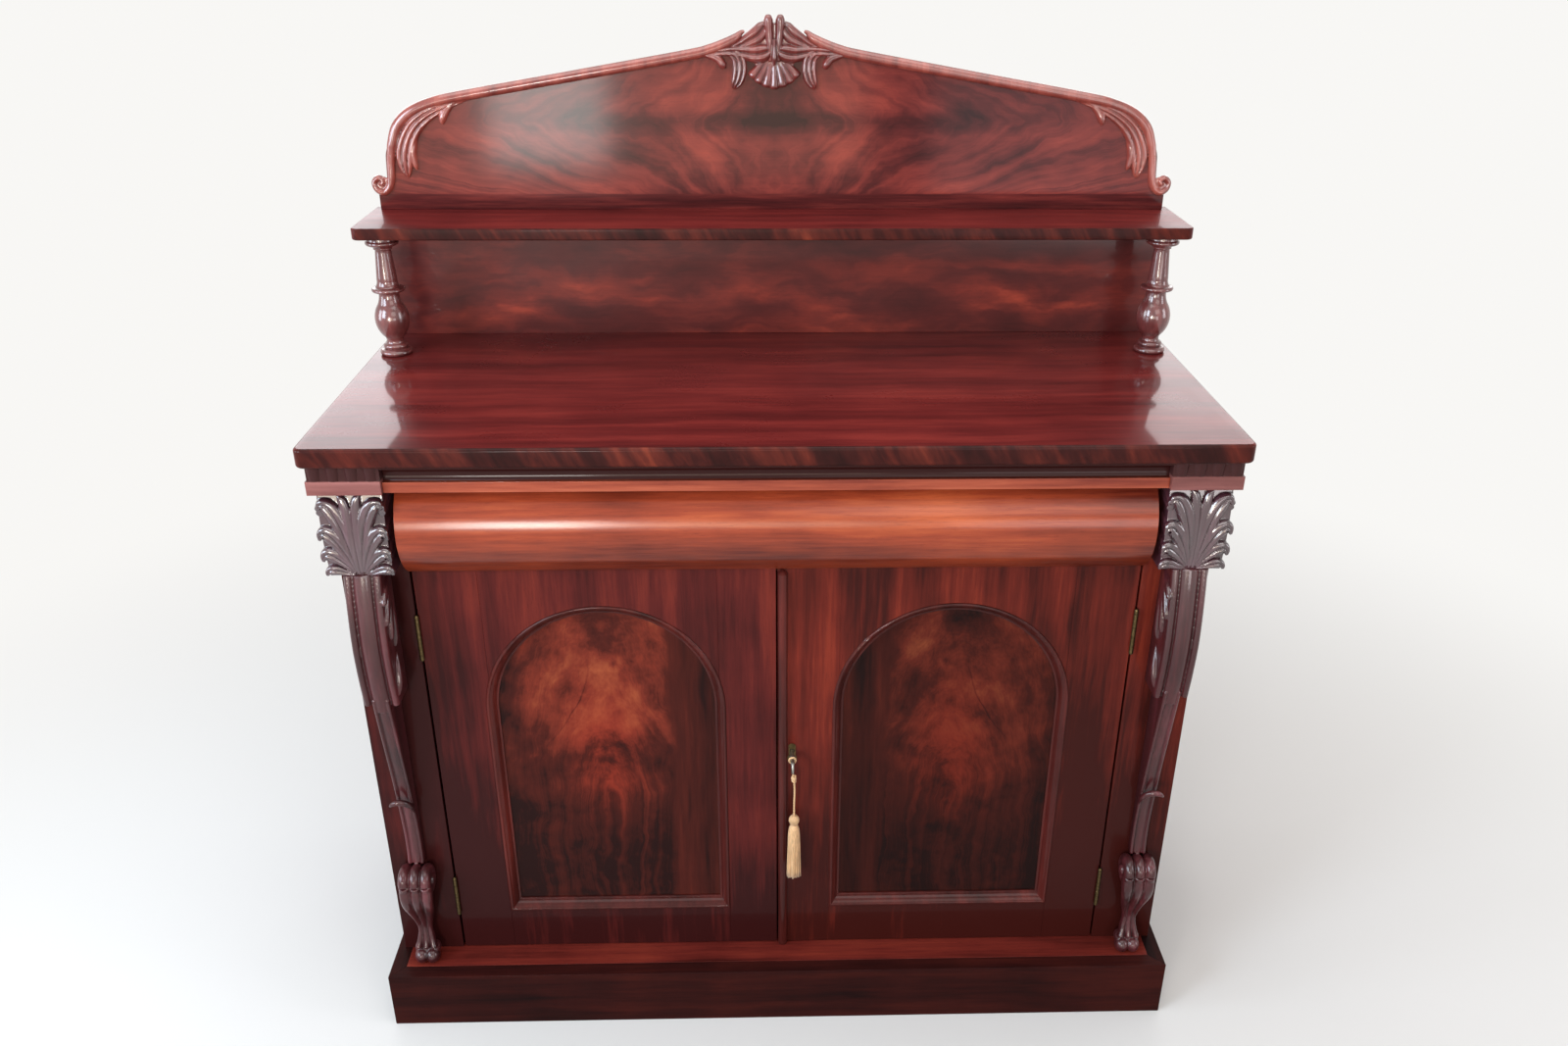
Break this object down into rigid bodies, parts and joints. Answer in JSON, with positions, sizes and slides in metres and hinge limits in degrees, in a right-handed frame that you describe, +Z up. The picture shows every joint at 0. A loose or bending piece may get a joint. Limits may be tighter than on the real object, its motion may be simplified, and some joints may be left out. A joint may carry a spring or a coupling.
{
  "type": "chiffonier",
  "caption": "Victorian mahogany chiffonier: shelved gallery with carved pediment, cushion drawer, arched panel doors between reeded scroll consoles, plinth base.",
  "frame": {"origin": "on the floor, under the middle of the piece's overall width and depth", "axes": "+X to the right seen from the front, +Y from the front to the back, +Z up"},
  "size_m": [1.16, 0.49, 1.378],
  "materials": {
    "mahogany": "deep glossy red-brown french polish",
    "flame_veneer": "glossy flame-figured mahogany veneer",
    "carved_mahogany": "polished carved mahogany, darker in the hollows",
    "secondary_pine": "aged unpolished softwood",
    "brass_fittings": "worn aged brass",
    "key_steel": "worn steel",
    "tassel_silk": "twisted cream and gold silk"
  },
  "bodies": {
    "carcase": {"back_boards": "secondary_pine", "bottom_board": "mahogany", "capital_left": "carved_mahogany", "capital_right": "carved_mahogany", "carcase_side_left": "mahogany", "carcase_side_right": "mahogany", "column_left": "carved_mahogany", "column_right": "carved_mahogany", "console_block_left": "carved_mahogany", "console_block_right": "carved_mahogany", "console_left": "carved_mahogany", "console_right": "carved_mahogany", "crest_carving": "carved_mahogany", "divider_rail": "mahogany", "drawer_kickers": "secondary_pine", "drawer_runners": "secondary_pine", "drawer_stops": "secondary_pine", "frieze_rail": "mahogany", "front_stile_left": "mahogany", "front_stile_right": "mahogany", "gallery_back": "flame_veneer", "gallery_shelf": "mahogany", "hinge_case_leaves": "brass_fittings", "hinge_pins": "brass_fittings", "inner_shelf": "secondary_pine", "pediment_panel": "flame_veneer", "pediment_rail_left": "carved_mahogany", "pediment_rail_right": "carved_mahogany", "plinth_back": "secondary_pine", "plinth_front": "mahogany", "plinth_glue_blocks": "secondary_pine", "plinth_sides": "mahogany", "shelf_cleats": "secondary_pine", "slide_bolt_keep": "brass_fittings", "top_board": "mahogany"},
    "door_left": {"door_stiles_left": "mahogany", "door_rails_left": "mahogany", "door_panel_left": "flame_veneer", "door_moulding_left": "mahogany", "hinge_leaves_left": "brass_fittings", "strike_plate": "brass_fittings", "slide_bolt_plate": "brass_fittings"},
    "door_right": {"door_stiles_right": "mahogany", "door_rails_right": "mahogany", "door_panel_right": "flame_veneer", "door_moulding_right": "mahogany", "hinge_leaves_right": "brass_fittings", "meeting_bead": "mahogany", "lock_case": "brass_fittings", "escutcheon": "brass_fittings"},
    "slide_bolt": {"slide_bolt_rod": "brass_fittings"},
    "lock_bolt": {"lock_bolt": "brass_fittings"},
    "key": {"key": "key_steel"},
    "tassel": {"tassel_loop": "tassel_silk", "tassel_cord": "tassel_silk", "tassel_head": "tassel_silk"},
    "drawer": {"drawer_front": "mahogany", "drawer_sides": "secondary_pine", "drawer_back": "secondary_pine", "drawer_bottom": "secondary_pine"}
  },
  "joints": [
    {"name": "door_left_hinge", "type": "hinge", "parent": "carcase", "child": "door_left", "pos_m": [-0.4785, -0.1843, 0.4155], "axis": [0, 0, -1], "range_deg": [0, 100]},
    {"name": "door_right_hinge", "type": "hinge", "parent": "carcase", "child": "door_right", "pos_m": [0.4785, -0.1843, 0.4155], "axis": [0, 0, 1], "range_deg": [0, 100]},
    {"name": "drawer_slide", "type": "slide", "parent": "carcase", "child": "drawer", "axis": [0, -1, 0], "range_m": [0, 0.28]},
    {"name": "key_turn", "type": "hinge", "parent": "door_right", "child": "key", "pos_m": [0.018, -0.205, 0.447], "axis": [0, 1, 0], "range_deg": [0, 180]},
    {"name": "lock_bolt_slide", "type": "slide", "parent": "door_right", "child": "lock_bolt", "axis": [-1, 0, 0], "range_m": [0, 0.0101]},
    {"name": "tassel_swing", "type": "hinge", "parent": "door_right", "child": "tassel", "pos_m": [0.018, -0.205, 0.447], "axis": [0, 1, 0], "range_deg": [-20, 20]},
    {"name": "slide_bolt_lift", "type": "slide", "parent": "door_left", "child": "slide_bolt", "axis": [0, 0, 1], "range_m": [0, 0.012]}
  ],
  "couplings": [
    {"joint": "lock_bolt_slide", "follows": "key_turn", "m_per_rad": 0.0031831}
  ]
}
